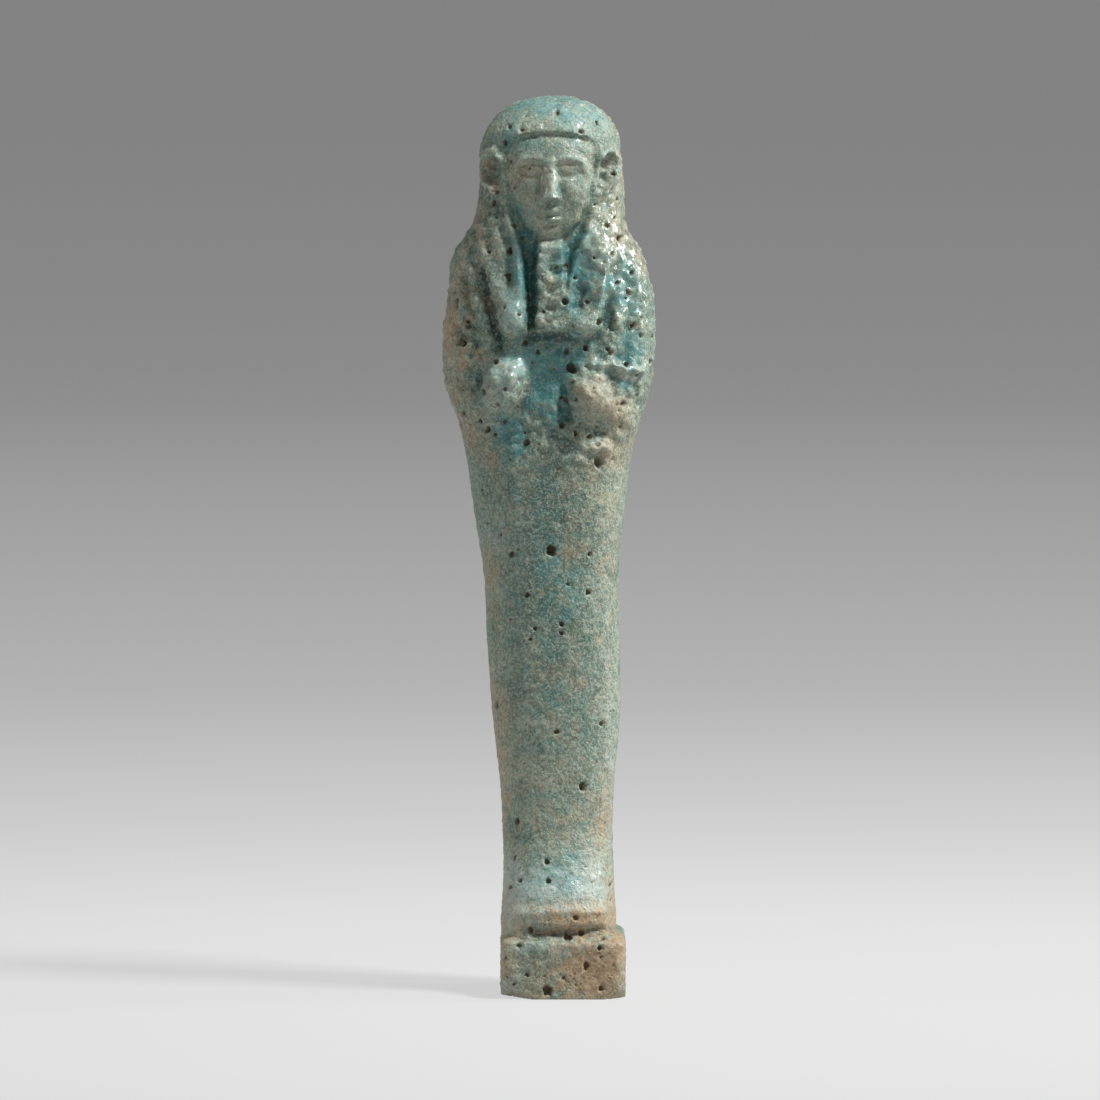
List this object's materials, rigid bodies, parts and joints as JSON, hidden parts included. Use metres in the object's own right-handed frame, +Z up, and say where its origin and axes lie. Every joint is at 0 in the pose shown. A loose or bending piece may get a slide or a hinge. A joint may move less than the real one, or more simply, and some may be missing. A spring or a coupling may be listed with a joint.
{
  "type": "faience ushabti",
  "caption": "Small mummiform funerary figure in worn blue-green faience, with headcloth, plaited beard, fists on the chest, back pillar and plinth.",
  "frame": {"origin": "middle of the box's bottom face, on the surface that the plinth stands on", "axes": "+Z up along the figure from plinth to crown, -Y towards the viewer, the way that the figure faces, +X to the viewer's right"},
  "size_m": [0.0262, 0.0206, 0.11],
  "materials": {
    "faience": "worn glaze, pitted, satin to matt"
  },
  "bodies": {
    "root": {"ushabti": "faience"}
  },
  "joints": []
}
